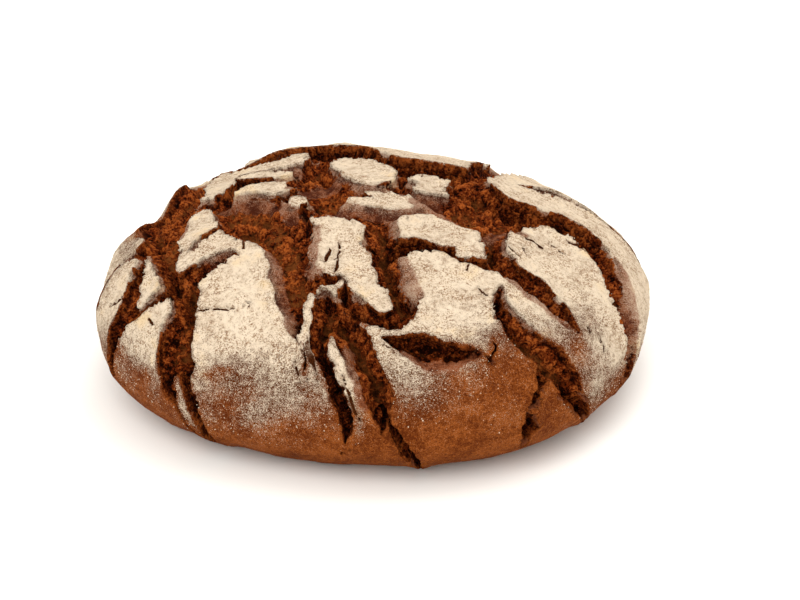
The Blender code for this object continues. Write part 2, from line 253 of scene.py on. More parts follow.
# Round pores in the torn crumb and the low crust: (x, y, radius) in millimetres.
PORES = (
    (75, -114, 3), (82, -119, 2.5), (90, -120, 3), (98, -124, 2.5), (111, -126, 3), (119, -125, 2),
    (81, -133, 2.5), (89, -149, 3.5), (79, -144, 1.2), (92, -160, 2.5), (-20, -180, 1.3), (-15, -178, 1),
    (17, -177, 1.5), (-93, -112, 3), (-100, -136, 3.5), (-105, -146, 2.5), (-88, -79, 3),
    (-20, -150, 2), (-16, -160, 2), (0, -150, 2.5), (3, -158, 2),
)

# Where the thick flour ends: (degrees round the crown, distance from it in millimetres).
FLOUR_REACH = (
    (-180, 160), (-150, 158), (-125, 157), (-118, 151), (-98, 144), (-86, 137), (-75, 128), (-60, 125),
    (-50, 140), (-42, 148), (-34, 158), (-25, 166), (-8, 168), (30, 158), (90, 150), (140, 156), (180, 160),
)

# How the flour thins out: millimetres past that line, and the share of flour there.
FLOUR_FADE = ((-26, -8, 4, 16, 34, 52), (1.0, 0.88, 0.55, 0.3, 0.12, 0.0))

# Places with more flour, or less: (x, y, half length, half height, change).
FLOUR_PATCHES = (
    (-84, -126, 7, 2, -0.3), (-72, -129, 9, 1.5, -0.25), (-70, -153, 13, 5, 0.22), (107, -82, 9, 12, -0.3),
    (98, -98, 10, 9, -0.3), (127, -88, 8, 12, 0.3), (121, -110, 5, 9, 0.2), (-124, -108, 9, 5, -0.25),
    (-112, -124, 7, 9, -0.2), (45, -118, 20, 3, 0.15), (22, -148, 18, 10, 0.2), (-130, 30, 9, 42, -0.9),
    (-14, -146, 5, 15, 0.5), (-7, -165, 3, 7, 0.25), (70, -150, 18, 14, 0.12), (126, -113, 18, 16, 0.3),
    (-106, -138, 5, 10, 0.35), (-132, -86, 8, 8, -0.2),
)

# Shallow dents that the whole crust follows: (x, y, reach, depth) in millimetres. Below zero is a bulge.
DENTS = (
    (-126, 42, 15, 6), (-78, 79, 16, 8), (-106, 66, 8, -3), (-142, 5, 11, -3), (-156, -24, 12, 2.5),
    (-146, 70, 16, 5),
)


def colour(red, green, blue):
    """A colour as the eye mixes it, from 0 to 255, turned into linear light."""
    shares = [value / 255 for value in (red, green, blue)]
    linear = [share / 12.92 if share <= 0.04045 else ((share + 0.055) / 1.055) ** 2.4 for share in shares]
    return (*linear, 1.0)


# ---------------------------------------------------------------------------------------------
# The plain loaf and the fields that lie on it
# ---------------------------------------------------------------------------------------------


def profile_table(samples=900):
    """Length along the crust from the crown, share of the plan radius, and height, down to the base."""
    turn = np.linspace(0.0, np.pi / 2, samples)
    dome_share = np.sin(turn) ** (2 / DOME_POWER)
    dome_height = WAIST_HEIGHT + DOME_RISE * np.cos(turn) ** (2 / DOME_POWER)
    tuck_share = np.cos(turn) ** (2 / TUCK_POWER)
    tuck_height = WAIST_HEIGHT - TUCK_REACH * np.sin(turn) ** (2 / TUCK_POWER)
    above_floor = tuck_height > 0
    floor_share = np.interp(0.0, tuck_height[::-1], tuck_share[::-1])
    share = np.concatenate([dome_share, tuck_share[above_floor][1:], [floor_share]])
    height = np.concatenate([dome_height, tuck_height[above_floor][1:], [0.0]])
    steps = np.hypot(np.diff(share * PLAN_RADIUS), np.diff(height))
    return np.concatenate([[0.0], np.cumsum(steps)]), share, height


LENGTHS, SHARES, HEIGHTS = profile_table()
FOOT_LENGTH = LENGTHS[-1]
WHOLE_LENGTH = FOOT_LENGTH + SHARES[-1] * PLAN_RADIUS


def plan_radius(angle):
    waves = sum(a * np.cos(k * angle) + b * np.sin(k * angle) for k, a, b in PLAN_WAVES)
    return PLAN_RADIUS * (1 + waves)


def crust_point(flat):
    """The point in space for each point (x, y) of the crust laid out flat. Past the foot it is the base."""
    length = np.hypot(flat[:, 0], flat[:, 1])
    angle = np.arctan2(flat[:, 1], flat[:, 0])
    inward = np.maximum(length - FOOT_LENGTH, 0) / PLAN_RADIUS
    share = np.maximum(np.interp(length, LENGTHS, SHARES) - inward, 0)
    radius = share * plan_radius(angle)
    right = radius * np.cos(angle)
    height = np.interp(length, LENGTHS, HEIGHTS) * (1 + LEAN * right / PLAN_RADIUS)
    return np.column_stack([right, radius * np.sin(angle), height])


def unit(vectors):
    return vectors / np.maximum(np.linalg.norm(vectors, axis=1, keepdims=True), 1e-12)


def crust_slopes(flat, step=0.6 * MM):
    """How the point in space moves with x and with y of the flat crust."""
    across = np.array([step, 0.0])
    along = np.array([0.0, step])
    right = crust_point(flat + across) - crust_point(flat - across)
    back = crust_point(flat + along) - crust_point(flat - along)
    return right / (2 * step), back / (2 * step)


GRADIENTS = np.array([v for v in np.ndindex(3, 3, 3) if sum(abs(a - 1) for a in v) == 2]) - 1.0


def hashed(cell, seed):
    """A fixed random whole number below 2^24 for each cell of a grid."""
    mixed = cell[:, 0] * 374761393 + cell[:, 1] * 668265263 + cell[:, 2] * 1442695041 + seed * 974634777
    mixed = (mixed ^ (mixed >> 13)) * 1274126177
    return (mixed ^ (mixed >> 16)) & 0xFFFFFF


def noise(points, grain, seed):
    """Smooth noise from about -1 to 1, with waves about as long as grain."""
    scaled = points / grain
    cell = np.floor(scaled).astype(np.int64)
    part = scaled - cell
    blend = part**3 * (part * (part * 6 - 15) + 10)
    total = np.zeros(len(points))
    for corner in np.ndindex(2, 2, 2):
        picked = np.array(corner)
        slope = GRADIENTS[hashed(cell + picked, seed) % len(GRADIENTS)]
        weight = np.prod(np.where(picked, blend, 1 - blend), axis=1)
        total += weight * ((part - picked) * slope).sum(axis=1)
    return total


def layered_noise(points, grain, seed, layers=3, fade=0.5):
    return sum(noise(points, grain * 0.5**k, seed + 17 * k) * fade**k for k in range(layers))


def cell_distance(points, grain, seed):
    """Distance to the nearest of strewn centres, as a share of their usual spacing."""
    scaled = points / grain
    cell = np.floor(scaled).astype(np.int64)
    nearest = np.full(len(points), np.inf)
    for corner in np.ndindex(3, 3, 3):
        there = cell + np.array(corner) - 1
        strewn = np.column_stack([hashed(there, seed + k) for k in range(3)]) / 0xFFFFFF
        nearest = np.minimum(nearest, np.linalg.norm(scaled - there - strewn, axis=1))
    return nearest


def ease(low, high, values):
    """Smooth step from 0 at low to 1 at high, whichever is the larger."""
    share = np.clip((values - low) / (high - low), 0, 1)
    return share * share * (3 - 2 * share)


def smooth_route(points):
    """A Catmull-Rom curve through (x, y, half width) points given in millimetres, as metres."""
    marks = np.array(points, float) * MM
    padded = np.vstack([2 * marks[0] - marks[1], marks, 2 * marks[-1] - marks[-2]])
    curve = [marks[:1]]
    for before, start, end, after in zip(padded, padded[1:], padded[2:], padded[3:]):
        t = (np.arange(STEPS_PER_SPAN) + 1)[:, None] / STEPS_PER_SPAN
        bend = 2 * before - 5 * start + 4 * end - after
        twist = 3 * start - before - 3 * end + after
        curve.append(0.5 * (2 * start + (end - before) * t + bend * t**2 + twist * t**3))
    return np.vstack(curve)


class Strokes:
    """Routes with a width, drawn on the crust laid out flat."""

    TILE = 16 * MM
    REACH = 22 * MM

    def __init__(self, routes):
        curves = [smooth_route(points) for points in routes]
        self.start = np.vstack([curve[:-1] for curve in curves])
        self.span = np.vstack([np.diff(curve, axis=0) for curve in curves])
        self.squared = np.maximum((self.span[:, :2] ** 2).sum(axis=1), 1e-12)
        self.middle = (self.start + self.span / 2)[:, :2]
        self.reach = self.REACH + 0.71 * self.TILE + np.sqrt(self.squared) / 2 + self.start[:, 2]

    def measure(self, flat):
        """How far points lie outside the nearest stroke, the way straight out of it, and its half width."""
        gap = np.full(len(flat), self.REACH)
        way = np.tile([1.0, 0.0], (len(flat), 1))
        width = np.full(len(flat), MM)
        tile = np.floor(flat / self.TILE).astype(int)
        number = tile[:, 0] * 1000 + tile[:, 1]
        order = np.argsort(number, kind="stable")
        for rows in np.split(order, np.flatnonzero(np.diff(number[order])) + 1):
            centre = (tile[rows[0]] + 0.5) * self.TILE
            near = np.hypot(*(self.middle - centre).T) < self.reach
            if near.any():
                gap[rows], way[rows], width[rows] = self.measure_near(flat[rows], near)
        return gap, way, width

    def measure_near(self, flat, near):
        start, span = self.start[near], self.span[near]
        off = flat[:, None] - start[:, :2]
        share = np.clip((off * span[:, :2]).sum(axis=2) / self.squared[near], 0, 1)
        off -= share[..., None] * span[:, :2]
        far = np.hypot(off[..., 0], off[..., 1])
        width = start[:, 2] + share * span[:, 2]
        best = (far - width).argmin(axis=1)
        rows = np.arange(len(best))
        far, width = far[rows, best], width[rows, best]
        return far - width, off[rows, best] / np.maximum(far, 1e-9)[:, None], width


def strewn_splits(count, seed):
    """Short thin splits strewn over the floured crust."""
    draw = np.random.default_rng(seed)
    routes = []
    for _ in range(count):
        angle = draw.uniform(0, 2 * np.pi)
        length = draw.uniform(25, 150)
        start = length * np.array([np.cos(angle), np.sin(angle)])
        heading = angle + draw.choice([0, np.pi / 2]) + draw.normal(0, 0.5)
        reach = draw.uniform(1.5, 4.5)
        step = reach * np.array([np.cos(heading), np.sin(heading)])
        bow = draw.normal(0, 0.18) * reach * np.array([-np.sin(heading), np.cos(heading)])
        width = draw.uniform(0.08, 0.28)
        routes.append(((*(start - step), 0.05), (*(start + bow), width), (*(start + step), 0.05)))
    return routes


TEAR_STROKES = Strokes(TEARS.values())
ISLAND_STROKES = Strokes(ISLANDS.values())
SKIN_STROKES = Strokes(SKINS.values())
HOLLOW_STROKES = Strokes(HOLLOWS.values())
SPLIT_STROKES = Strokes(list(SPLITS.values()) + strewn_splits(44, 5))
PORE_STROKES = Strokes([((x, y, r), (x + 0.1, y, r)) for x, y, r in PORES])


class Surface:
    """Everything that is known of the loaf's surface at points of the crust laid out flat."""

    def __init__(self, flat, size):
        self.flat = flat
        self.size = size
        self.plain = crust_point(flat)
        self.length = np.hypot(*flat.T)
        self.find_edges()

    def find_edges(self):
        """Distance to the nearest edge of crust: above zero on crust, below zero in torn crumb."""
        plain, flat = self.plain, self.flat
        shift = [
            1.9 * MM * noise(plain, 9 * MM, seed) + 1.0 * MM * layered_noise(plain, 3.4 * MM, seed + 4, 2)
            for seed in (1, 2)
        ]
        moved = flat + np.column_stack(shift)
        torn, torn_way, torn_width = TEAR_STROKES.measure(moved)
        torn -= self.size.tear_widening
        kept, kept_way, _ = ISLAND_STROKES.measure(moved)
        on_island = -kept > torn
        edge = np.where(on_island, -kept, torn)
        way = np.where(on_island[:, None], -kept_way, torn_way)
        self.pore, pore_way, _ = PORE_STROKES.measure(flat + 0.4 * (moved - flat))
        in_pore = self.pore < edge
        self.edge = np.where(in_pore, self.pore, edge)
        self.way = np.where(in_pore[:, None], pore_way, way)
        self.split, _, _ = SPLIT_STROKES.measure(flat + 0.45 * (moved - flat))
        self.above_foot = ease(0, 7 * MM, FOOT_LENGTH - self.length)
        self.find_hollows(moved, torn, torn_width, kept)
        self.find_skins(moved)
        self.hollow = np.maximum(self.hollow, ease(0.6 * MM, -1.2 * MM, self.pore))

    def find_hollows(self, moved, torn, torn_width, kept):
        """Where tears go deeper, from 0 to 1: in the hollows, and along the middles of narrow tears."""
        hollow, _, _ = HOLLOW_STROKES.measure(moved)
        middle = ease(0.45, 1.0, -torn / np.maximum(torn_width, 1e-9))
        core = middle * ease(11 * MM, 7 * MM, torn_width) * (kept > 2 * MM)
        core *= 0.55 + 0.7 * noise(self.plain, 12 * MM, 48)
        self.hollow = np.maximum(ease(3 * MM, -4 * MM, hollow), core)

    def find_skins(self, moved):
        """Where smooth skin lines the tears, from 0 to 1: as laid out, and in skirts under the rims."""
        plain, flat = self.plain, self.flat
        skin, _, _ = SKIN_STROKES.measure(flat + 0.7 * (moved - flat))
        skirt = 5.5 * MM * np.clip(noise(plain, 21 * MM, 45) + 0.35 * noise(plain, 8 * MM, 46) + 0.12, 0, 1)
        skirt = skirt * (1 - 0.7 * ease(70 * MM, 125 * MM, np.hypot(*flat.T)))
        skirted = ease(-1.8 * MM, 1.2 * MM, skirt + self.edge) * (skirt > 0.5 * MM)
        lining = skirted * ease(0.3 * MM, 0, self.edge) * ease(0.3, 0, self.hollow)
        self.skin = np.maximum(ease(1.8 * MM, -1.4 * MM, skin), lining)

    def crumb_floor(self):
        """The crumb's rough floor, in millimetres over its mean: rimmed bowls, strands and grains."""
        plain = self.plain
        warp = np.column_stack([noise(plain, 9 * MM, seed) for seed in (31, 32, 33)])
        moved = plain + 3.5 * MM * warp
        bowls = np.minimum(cell_distance(moved, 13 * MM, 51) / 0.6, 1) ** 2
        cups = np.minimum(cell_distance(moved, 5.6 * MM, 54) / 0.55, 1) ** 2
        lumps = layered_noise(plain, 14 * MM, 35, 2)
        grains = layered_noise(plain, 2.6 * MM, 61, 2, 0.6)
        floor = 2.6 * lumps + 3.4 * (bowls - 0.7) + 1.5 * (cups - 0.8)
        return floor + 1.0 * grains + 0.7 * self.strands()

    def strands(self, reach=3):
        """Noise drawn out across the tears, as dough tears into strands."""
        right, back = crust_slopes(self.flat)
        way = unit(right * self.way[:, :1] + back * self.way[:, 1:])
        steps = range(-reach, reach + 1)
        return sum(noise(self.plain + way * k * 0.9 * MM, 1.9 * MM, 71) for k in steps) / (reach + 1)

    def tear_drop(self, inside):
        """How deep the tears are: a broken wall, then crumb that sinks away from it, or a slope of skin."""
        size = self.size
        wide = ease(6 * MM, 17 * MM, inside)
        ragged = 0.8 + 0.7 * layered_noise(self.plain, 6 * MM, 141, 2, 0.7)
        broken = WALL_SHARE * size.tear_depth * ragged * np.clip(inside / size.wall_run, 0, 1)
        beyond = np.maximum(inside - size.wall_run, 0)
        sunk = (1 - WALL_SHARE) * size.tear_depth * (1 - np.exp(-beyond / SINK_REACH)) * (1 - 0.55 * wide)
        deeper = size.hollow_depth * self.hollow * ease(0, 3 * MM, inside)
        rough = size.crumb_relief * self.crumb_floor() * ease(0.8 * size.wall_run, 5 * MM, inside)
        torn = broken + sunk + deeper - rough
        sloped = np.minimum(SKIN_SLOPE * inside, SKIN_SHARE * size.tear_depth) - 0.3 * rough
        return torn * (1 - self.skin) + sloped * self.skin

    def crust_rise(self, inside, outside):
        """The lips beside the tears, the swell of the whole crust, and low lips beside the splits."""
        plain = self.plain
        lip = self.size.lip_rise * np.exp(-outside / LIP_REACH) * np.exp(-inside / (0.8 * MM))
        lip = lip * (1 - 0.8 * self.skin)
        swell = 1.1 * MM * noise(plain, 46 * MM, 81) + 0.8 * MM * noise(plain, 17 * MM, 82)
        swell += 0.32 * MM * layered_noise(plain, 7 * MM, 83, 3) * ease(-1 * MM, 2 * MM, self.edge)
        beside = np.exp(-((self.split - 0.9 * MM) / (0.8 * MM)) ** 2)
        split_lip = 0.35 * MM * beside * ease(0, 2 * MM, outside)
        return lip + swell + split_lip

    def dents(self):
        return sum(
            depth * MM * np.exp(-((self.flat - np.array([x, y]) * MM) ** 2).sum(axis=1) / (reach * MM) ** 2)
            for x, y, reach, depth in DENTS
        )

    def overhang(self):
        """How far each point leans over the tear, out from its rim, or back under it."""
        size = self.size
        ragged = 0.6 + 0.9 * np.clip(noise(self.plain, 20 * MM, 91) + 0.3, 0, 1)
        over = size.overhang * ragged * (1 - self.skin)
        reach_out = np.exp(-(((self.edge - 0.1 * MM) / (1.2 * MM)) ** 2))
        reach_under = np.exp(-(((self.edge + 1.25 * size.wall_run) / (1.1 * MM)) ** 2))
        return over * (0.9 * reach_under - reach_out) * self.above_foot

    def place(self):
        """The point in space of each point of the finished surface."""
        inside = np.maximum(-self.edge, 0)
        outside = np.maximum(self.edge, 0)
        pore_depth = PORE_SLOPE * np.maximum(-self.pore, 0)
        sag = 1.4 * MM * self.skin * ease(4 * MM, 0, outside)
        split = SPLIT_DEPTH * ease(0.35 * MM, -0.25 * MM, self.split) * ease(0, 1.5 * MM, outside)
        raised = self.crust_rise(inside, outside) - self.tear_drop(inside) - pore_depth
        self.height = (raised - sag - split - self.dents()) * self.above_foot
        right, back = crust_slopes(self.flat)
        self.normal = unit(np.cross(right, back))
        outward = unit(right * self.way[:, :1] + back * self.way[:, 1:])
        moved = self.plain + self.normal * self.height[:, None] + outward * self.overhang()[:, None]
        return moved + self.jitter(moved, inside)

    def jitter(self, moved, inside):
        """Small moves in all directions, which turn the torn surface back on itself."""
        size = self.size
        fine = np.column_stack([layered_noise(moved, 3.6 * MM, seed, 2, 0.6) for seed in (101, 111, 121)])
        coarse = np.column_stack([noise(moved, 9 * MM, seed) for seed in (131, 141, 151)])
        share = ease(0.1 * size.wall_run, 2.4 * size.wall_run, inside)
        share = share * (1 - 0.4 * self.skin) * self.above_foot
        return (size.crumb_jitter * (fine + 0.9 * coarse)) * share[:, None]

    def flour(self):
        """How thickly the crust is floured, from 0 to 1."""
        angle = np.degrees(np.arctan2(self.flat[:, 1], self.flat[:, 0]))
        full = np.interp(angle, *np.array(FLOUR_REACH, float).T) * MM
        wavering = self.length + 12 * MM * noise(self.plain, 38 * MM, 95)
        wavering += 8 * MM * noise(self.plain, 12 * MM, 96)
        past = (wavering - full) / MM
        flour = np.interp(past, *FLOUR_FADE)
        for x, y, length, height, change in FLOUR_PATCHES:
            off = (self.flat / MM - np.array([x, y])) / np.array([length, height])
            flour = flour + change * np.exp(-(off**2).sum(axis=1))
        return np.clip(flour, 0, 1)

    def wanted_length(self):
        """The longest edge that the mesh may have at each point, before the settings scale it."""
        edge = self.edge
        crust = np.clip(1.2 * MM + 0.45 * (edge - 1 * MM), 1.2 * MM, 2.9 * MM)
        wanted = np.where(edge > 0, crust, 1.02 * MM)
        wanted = np.where((self.skin > 0.5) & (edge < 0), 1.5 * MM, wanted)
        wanted = np.where((np.abs(self.split) < 0.9 * MM) & (edge > 0), 0.8 * MM, wanted)
        back = ease(30 * MM, 90 * MM, self.flat[:, 1])
        wanted = wanted * (1 + 0.45 * back)
        return np.where(self.length > FOOT_LENGTH + 2 * MM, 9 * MM, wanted)


def sphere_directions(mesh):
    return unit(np.array([vertex.co[:] for vertex in mesh.verts]))


def edge_ends(mesh):
    return np.array([(edge.verts[0].index, edge.verts[1].index) for edge in mesh.edges])


def laid_flat(directions):
    """Crust coordinates for points of a unit sphere, whose north pole is the crown."""
    across = np.hypot(directions[:, 0], directions[:, 1])
    length = np.arctan2(across, directions[:, 2]) / np.pi * WHOLE_LENGTH
    near_foot = np.abs(length - FOOT_LENGTH) < 1.6 * MM
    length = np.where(near_foot, FOOT_LENGTH, length)
    return directions[:, :2] / np.maximum(across, 1e-12)[:, None] * length[:, None]


def on_sphere(flat):
    """The points of a unit sphere that laid_flat lays at these places."""
    length = np.hypot(*flat.T)
    polar = length / WHOLE_LENGTH * np.pi
    return np.column_stack([flat * (np.sin(polar) / np.maximum(length, 1e-12))[:, None], np.cos(polar)])


def split_long_edges(mesh, places, wanted):
    """Splits the edges that are too long on the finished loaf, and says how many there were."""
    ends = edge_ends(mesh)
    length = np.linalg.norm(places[ends[:, 0]] - places[ends[:, 1]], axis=1)
    chosen = set(np.flatnonzero(length > SPLIT_ABOVE * wanted[ends].mean(axis=1)).tolist())
    long_edges = [edge for number, edge in enumerate(mesh.edges) if number in chosen]
    bmesh.ops.subdivide_edges(mesh, edges=long_edges, cuts=1)
    bmesh.ops.triangulate(mesh, faces=[face for face in mesh.faces if len(face.verts) > 3])
    mesh.verts.index_update()
    return len(chosen)


def sphere_mesh(size):
    """A unit sphere whose triangles are as small as the loaf's relief needs at each place."""
    mesh = bmesh.new()
    bmesh.ops.create_icosphere(mesh, subdivisions=6, radius=1.0)
    mesh.verts.index_update()
    places, wanted = np.empty((0, 3)), np.empty(0)
    for _ in range(size.mesh_rounds):
        added = Surface(laid_flat(sphere_directions(mesh)[len(places) :]), size)
        places = np.vstack([places, added.place()])
        wanted = np.concatenate([wanted, added.wanted_length() * size.mesh_scale])
        if not split_long_edges(mesh, places, wanted):
            break
    for _ in range(2):
        bmesh.ops.smooth_vert(
            mesh, verts=mesh.verts, factor=0.5, use_axis_x=True, use_axis_y=True, use_axis_z=True
        )
    for level in (0.0, -size.wall_run):
        cut_along(mesh, size, level)
    return mesh


def drawn_onto(mesh, size, level):
    """Moves the points close beside the line at this distance from the crust's edge onto it, and says how far
    each point lies from it."""
    flat = laid_flat(sphere_directions(mesh))
    surface = Surface(flat, size)
    off = np.where(surface.above_foot > 0.5, surface.edge - level, 1.0)
    near = np.abs(off) < SNAP_REACH * size.wall_run
    mesh.verts.ensure_lookup_table()
    on_line = on_sphere(flat[near] - surface.way[near] * off[near, None])
    for number, place in zip(np.flatnonzero(near), on_line):
        mesh.verts[number].co = place
    return np.where(near, 0.0, off)


def cut_along(mesh, size, level):
    """Cuts a line of edges into the mesh at this distance from the crust's edge."""
    off = drawn_onto(mesh, size, level)
    ends = edge_ends(mesh)
    side = off[ends]
    crossing = np.flatnonzero((side[:, 0] * side[:, 1] < 0) & (np.abs(side).max(axis=1) < 4 * MM))
    mesh.edges.ensure_lookup_table()
    edges = [mesh.edges[number] for number in crossing]
    on_line = [mesh.verts[number] for number in np.flatnonzero(off == 0)]
    for edge, (here, there) in zip(edges, np.abs(side[crossing])):
        on_line.append(bmesh.utils.edge_split(edge, edge.verts[0], here / (here + there))[1])
    bmesh.ops.connect_verts(mesh, verts=on_line)
    bmesh.ops.triangulate(mesh, faces=[face for face in mesh.faces if len(face.verts) > 3])
    mesh.verts.index_update()
    drawn_onto(mesh, size, level)


def settled(places, ends, rounds):
    """The places after each has moved a number of times to the mean of its neighbours."""
    here, there = ends.T
    near = np.maximum(np.bincount(ends.ravel(), minlength=len(places)), 1)

    def neighbour_sum(axis):
        return np.bincount(here, axis[there], len(places)) + np.bincount(there, axis[here], len(places))

    for _ in range(rounds):
        places = np.column_stack([neighbour_sum(axis) for axis in places.T]) / near[:, None]
    return places


def add_field(data, name, values):
    data.attributes.new(name, "FLOAT", "POINT").data.foreach_set("value", values.astype(np.float32))


def add_bake_map(data, directions):
    """Unfolds the dome as one disc and the flat base as a small one in the corner."""
    corners = np.empty(len(data.loops), np.int32)
    data.loops.foreach_get("vertex_index", corners)
    triangles = directions[corners].reshape(-1, 3, 3)
    polar = np.arctan2(np.hypot(triangles[..., 0], triangles[..., 1]), triangles[..., 2])
    angle = np.arctan2(triangles[..., 1], triangles[..., 0])
    foot = FOOT_LENGTH / WHOLE_LENGTH * np.pi
    dome = polar.mean(axis=1) < foot
    dome_reach = polar / foot * 0.455
    base_reach = (np.pi - polar) / (np.pi - foot) * 0.085
    reach = np.where(dome[:, None], dome_reach, base_reach)
    middle = np.where(dome[:, None, None], np.array([0.46, 0.46]), np.array([0.905, 0.905]))
    across = np.where(dome[:, None], reach * np.cos(angle), -reach * np.cos(angle))
    places = middle + np.stack([across, reach * np.sin(angle)], axis=2)
    data.uv_layers.new(name="OFBake").data.foreach_set("uv", places.reshape(-1).astype(np.float32))


def new_piece(name, data, material):
    data.materials.append(material)
    data.shade_smooth()
    piece = bpy.data.objects.new(name, data)
    bpy.context.scene.collection.objects.link(piece)
    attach(piece, "root")
    return piece


def centring(places):
    """The move that puts the middle of the plain loaf's box over the middle of the frame's."""
    middle = (places.min(axis=0) + places.max(axis=0)) / 2
    aim = (LOAF_LOW + LOAF_HIGH) / 2
    return np.array([aim[0] - middle[0], aim[1] - middle[1], 0.0])


def outline_points():
    angles = np.linspace(0, 2 * np.pi, 721)
    waist = np.interp(-WAIST_HEIGHT, -HEIGHTS, LENGTHS)
    return crust_point(waist * np.column_stack([np.cos(angles), np.sin(angles)]))


CENTRING = centring(outline_points())


# ---------------------------------------------------------------------------------------------
# Materials
# ---------------------------------------------------------------------------------------------


# Flour and crumb hardly shine.
SHEEN = 0.02


class Field:
    """A shader socket that takes part in Python sums."""

    def __init__(self, recipe, socket):
        self.recipe = recipe
        self.socket = socket

    def math(self, operation, first, second=0.0):
        node = self.recipe.add("ShaderNodeMath", {"operation": operation}, {0: first, 1: second})
        return Field(self.recipe, node.outputs[0])

    def __add__(self, other):
        return self.math("ADD", self, other)

    def __sub__(self, other):
        return self.math("SUBTRACT", self, other)

    def __mul__(self, other):
        return self.math("MULTIPLY", self, other)

    def __rsub__(self, other):
        return self.math("SUBTRACT", other, self)

    def __abs__(self):
        return self.math("ABSOLUTE", self)

    __radd__ = __add__
    __rmul__ = __mul__

    def ease(self, low, high):
        """Smooth step from 0 at low to 1 at high. High may be the smaller."""
        flipped = low > high
        inputs = {"Value": self, "From Min": min(low, high), "From Max": max(low, high)}
        inputs.update({"To Min": float(flipped), "To Max": float(not flipped)})
        node = self.recipe.add("ShaderNodeMapRange", {"interpolation_type": "SMOOTHSTEP"}, inputs)
        return Field(self.recipe, node.outputs["Result"])

    def most(self, other):
        return self.math("MAXIMUM", self, other)


class Recipe:
    """One material and the nodes that are added to it."""

    def __init__(self, name):
        self.material = bpy.data.materials.new(name)
        self.material.use_nodes = True
        self.tree = self.material.node_tree
        self.shader = self.tree.nodes["Principled BSDF"]

    def add(self, kind, settings=None, inputs=None):
        node = self.tree.nodes.new(kind)
        for key, value in (settings or {}).items():
            setattr(node, key, value)
        for key, value in (inputs or {}).items():
            self.feed(node.inputs[key], value)
        return node

    def feed(self, socket, value):
        if isinstance(value, Field):
            self.tree.links.new(value.socket, socket)
        else:
            socket.default_value = value

    def place(self):
        return Field(self, self.add("ShaderNodeTexCoord").outputs["Object"])

    def attribute(self, name):
        node = self.add("ShaderNodeAttribute", {"attribute_name": name})
        return Field(self, node.outputs["Fac"])

    def noise(self, place, per_metre, detail=2.0, roughness=0.5, twist=0.0):
        """Noise round zero, from about -0.5 to 0.5."""
        inputs = {"Vector": place, "Scale": per_metre, "Detail": detail, "Roughness": roughness}
        inputs["Distortion"] = twist
        return Field(self, self.add("ShaderNodeTexNoise", {}, inputs).outputs["Fac"]) - 0.5

    def stretch(self, place, scale):
        node = self.add("ShaderNodeVectorMath", {"operation": "MULTIPLY"}, {0: place, 1: scale})
        return Field(self, node.outputs[0])

    def cells(self, place, per_metre):
        """Distance from the nearest of strewn centres."""
        inputs = {"Vector": place, "Scale": per_metre}
        return Field(self, self.add("ShaderNodeTexVoronoi", {"feature": "F1"}, inputs).outputs["Distance"])

    def mix(self, low, high, share):
        inputs = {0: share, 6: low, 7: high}
        return Field(self, self.add("ShaderNodeMix", {"data_type": "RGBA"}, inputs).outputs[2])

    def bump(self, height, depth):
        inputs = {"Height": height, "Distance": depth, "Strength": 1.0}
        return Field(self, self.add("ShaderNodeBump", {}, inputs).outputs["Normal"])

    def finish(self, **sockets):
        for name, value in sockets.items():
            self.feed(self.shader.inputs[name.replace("_", " ")], value)
        return self.material


def crumb_shades(recipe, look, place, ridge, rise):
    """The colour and fine relief of torn crumb, with painted shade in its pits and, where ridge and rise come
    from the loaf's shape, painted light on its ridges and painted shade in its low places.
    """
    broad = recipe.noise(place, 70, 3, 0.55)
    lumps = recipe.noise(place, 300, 3, 0.6)
    fine = recipe.noise(place, 900, 3, 0.7)
    pits = recipe.cells(place, 330).ease(0.35, 0.05)
    # Random tone, less the painted shade of the pits, plus ridge and rise, which on the loaf are painted light
    # and shade from its shape.
    shade = 0.5 + ridge * 0.26 + rise * 0.36 + lumps * 2.8 + fine * 4.4 + broad * 2.0 - pits * 0.5
    shades = recipe.mix(look.dark_crumb_and_shade, look.crumb_middle, shade.ease(-0.2, 0.5))
    shades = recipe.mix(shades, look.crumb_light, shade.ease(0.5, 1.4))
    flecks = recipe.noise(place, 1300, 2, 0.6).ease(0.14, 0.22) * shade.ease(0.2, 0.7)
    return recipe.mix(shades, look.flour_shade, flecks * 0.4), lumps * 1.2 + fine * 1.4 - pits * 0.5


